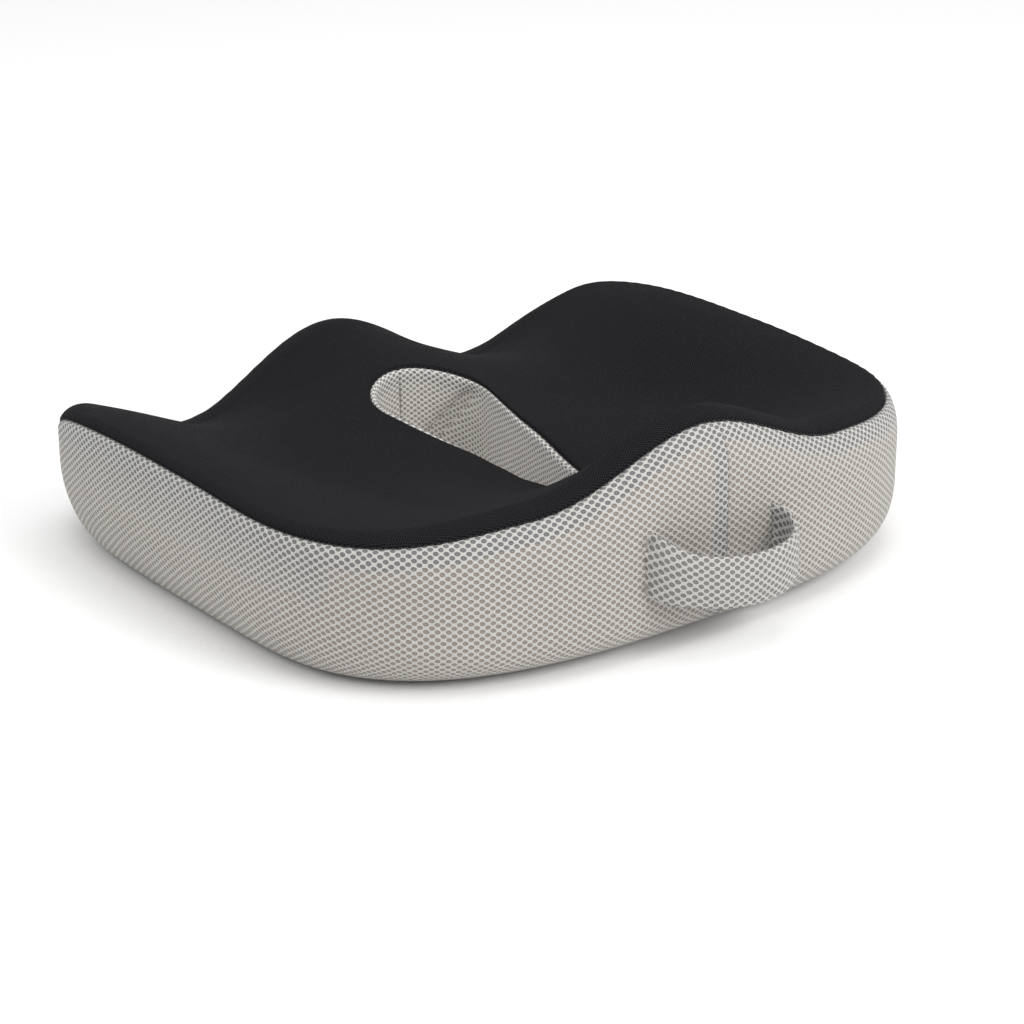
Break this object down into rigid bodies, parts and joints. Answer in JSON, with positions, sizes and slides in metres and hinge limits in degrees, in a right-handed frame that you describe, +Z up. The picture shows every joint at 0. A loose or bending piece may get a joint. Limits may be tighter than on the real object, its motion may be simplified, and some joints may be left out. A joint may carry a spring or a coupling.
{
  "type": "seat cushion",
  "caption": "Contoured foam seat cushion with leg grooves, a tailbone cutout, a raised rear lip, a sewn mesh cover with a front zip, and a strap handle on the rear wall.",
  "frame": {"origin": "middle of the whole object's footprint, on the surface it rests on", "axes": "+X across the width towards the side_panel_left side, +Y from the thigh edge to the rear edge with the handle, +Z up"},
  "size_m": [0.44, 0.4268, 0.13],
  "materials": {
    "foam": "open-cell memory foam, matt",
    "black_mesh": "fine black spacer mesh with a small diagonal rib, matt",
    "grey_mesh": "light warm grey spacer mesh with oval holes, matt",
    "base_fabric": "dark woven non-slip fabric, matt",
    "black_thread": "black polyester sewing thread",
    "grey_thread": "grey polyester sewing thread",
    "grip_rubber": "soft silicone dots, satin",
    "zip_tape": "black woven zip tape",
    "zip_teeth": "nylon teeth, satin",
    "zip_metal": "dark painted zinc, satin"
  },
  "bodies": {
    "cushion": {"foam_core": "foam", "top_panel": "black_mesh", "side_panel_left": "grey_mesh", "side_panel_right": "grey_mesh", "base_panel": "base_fabric", "cutout_lining": "grey_mesh", "top_seam_thread": "black_thread", "cutout_seam_thread": "black_thread", "base_seam_thread": "black_thread", "cutout_base_thread": "black_thread", "rear_joint_thread": "grey_thread", "front_joint_thread": "grey_thread", "lining_joint_thread": "grey_thread", "grip_dots_bearing": "grip_rubber", "grip_dots_front": "grip_rubber", "grip_dots_rear": "grip_rubber", "grip_dots_left": "grip_rubber", "grip_dots_right": "grip_rubber", "zip_tape_upper": "zip_tape", "zip_tape_lower": "zip_tape", "zip_teeth_upper": "zip_teeth", "zip_teeth_lower": "zip_teeth", "zip_tape_stitches": "black_thread", "zip_end_stops": "zip_metal", "handle_end_left": "grey_mesh", "handle_end_right": "grey_mesh", "handle_bartacks": "grey_thread"},
    "slider": {"zip_slider": "zip_metal"},
    "puller": {"zip_puller": "zip_metal"},
    "strap": {"handle_outer_face": "grey_mesh", "handle_padding": "foam", "handle_inner_face": "grey_mesh", "handle_edge_thread": "grey_thread"}
  },
  "joints": [
    {"name": "zip_slide", "type": "slide", "parent": "cushion", "child": "slider", "axis": [1, 0, 0], "range_m": [-0.216, 0]},
    {"name": "pull_tab_flip", "type": "hinge", "parent": "slider", "child": "puller", "pos_m": [0.108, -0.21127, 0.01577], "axis": [0, -0.3763, 0.9265], "range_deg": [0, 175]},
    {"name": "strap_swing", "type": "hinge", "parent": "cushion", "child": "strap", "pos_m": [0, 0.18525, 0.0553], "axis": [1, 0, 0], "range_deg": [-28, 34], "stiffness_Nm_per_rad": 0.1}
  ]
}
